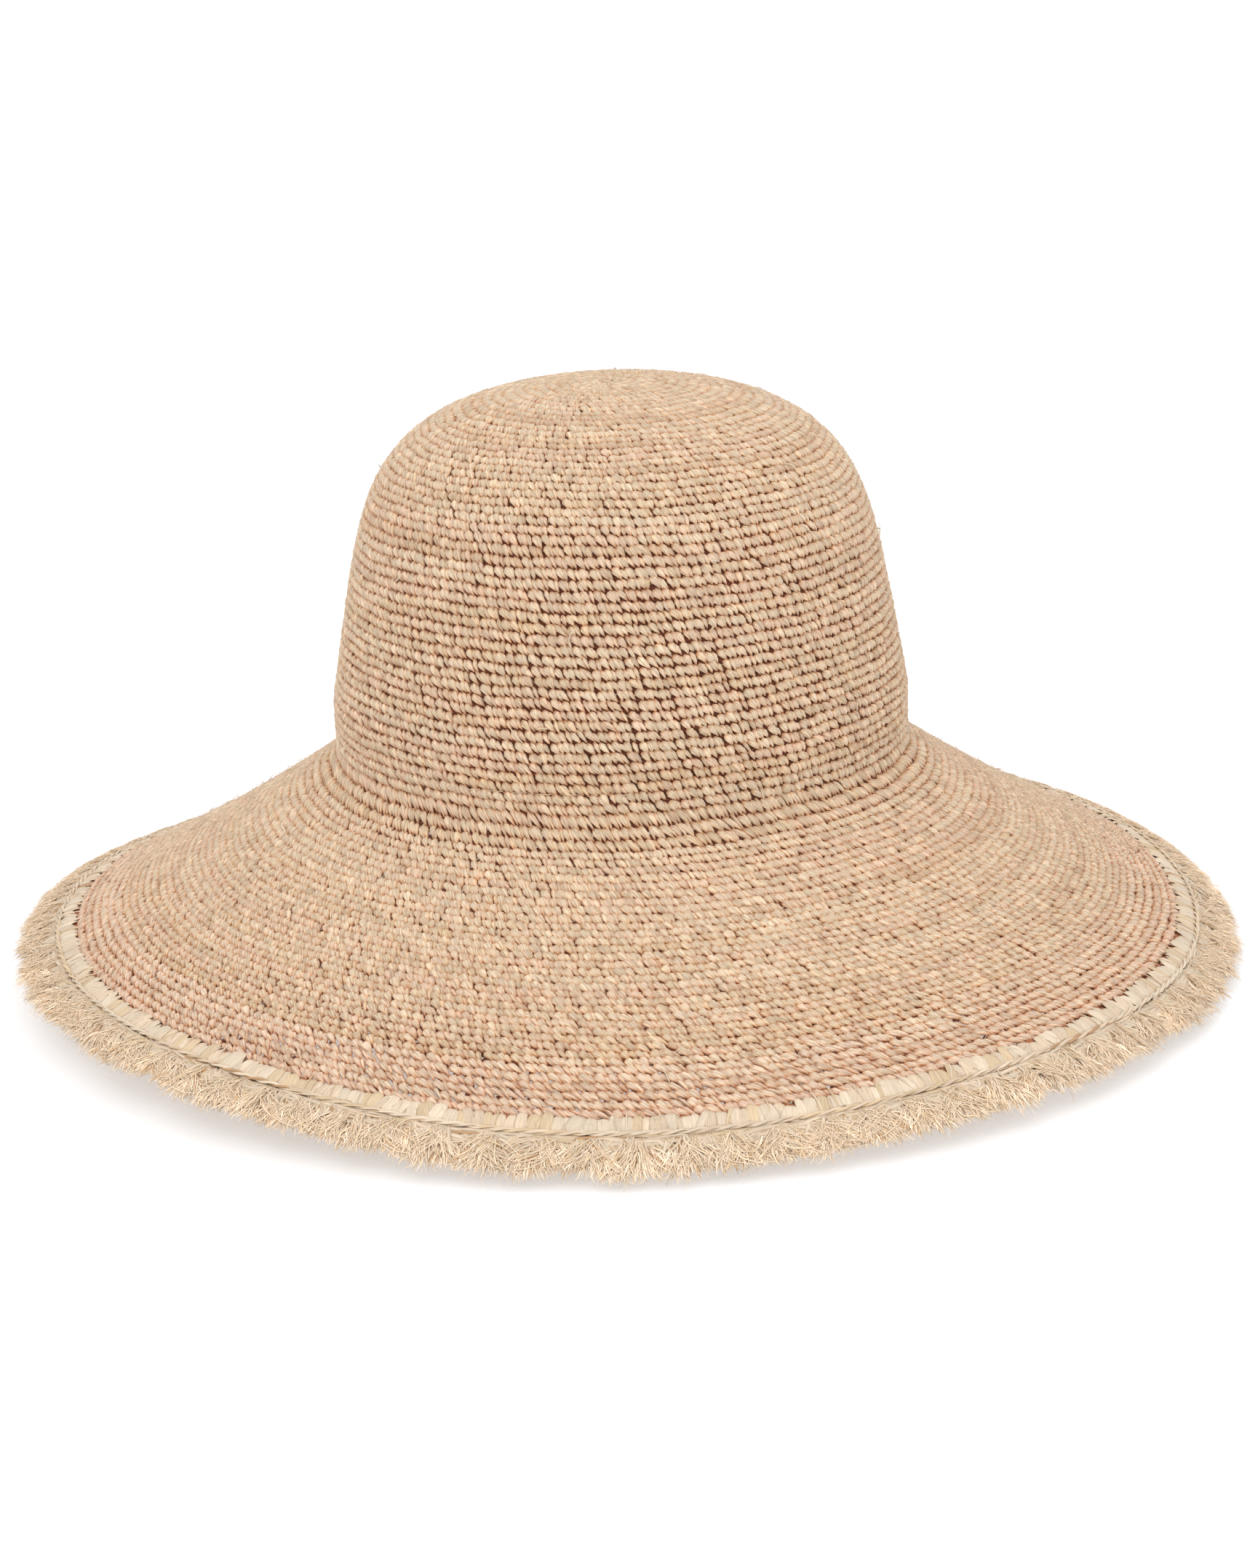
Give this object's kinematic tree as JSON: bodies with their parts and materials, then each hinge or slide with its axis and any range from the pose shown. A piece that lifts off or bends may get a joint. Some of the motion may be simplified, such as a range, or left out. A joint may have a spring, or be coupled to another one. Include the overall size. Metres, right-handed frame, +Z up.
{
  "type": "sun hat",
  "caption": "Wide-brimmed crocheted raffia sun hat with a rounded crown, a sloping brim, a frayed braided edge and a ribbon sweatband.",
  "frame": {"origin": "on the floor under the middle of the crown, with the hat standing on its brim edge", "axes": "+Z up along the crown's axis, -Y towards the front, +X to the right seen from the front"},
  "size_m": [0.4061, 0.406, 0.1889],
  "materials": {
    "raffia": "natural crocheted raffia, satin",
    "pink_raffia": "natural raffia with a pinkish tint, worked loosely",
    "pale_raffia": "pale flat raffia, satin",
    "frayed_raffia": "frayed raffia strands",
    "ribbon": "ribbed cotton ribbon",
    "thread": "cotton sewing thread"
  },
  "bodies": {
    "root": {"crown_button": "raffia", "crown_tip": "raffia", "crown_shoulder": "raffia", "crown_upper_wall": "raffia", "crown_lower_wall": "raffia", "brim_turn": "raffia", "brim_inner": "raffia", "brim_middle": "raffia", "brim_openwork": "pink_raffia", "brim_edging": "pale_raffia", "edge_cord": "pale_raffia", "fringe_braid": "pale_raffia", "edge_fringe": "frayed_raffia", "sweatband": "ribbon", "band_stitches": "thread"}
  },
  "joints": []
}
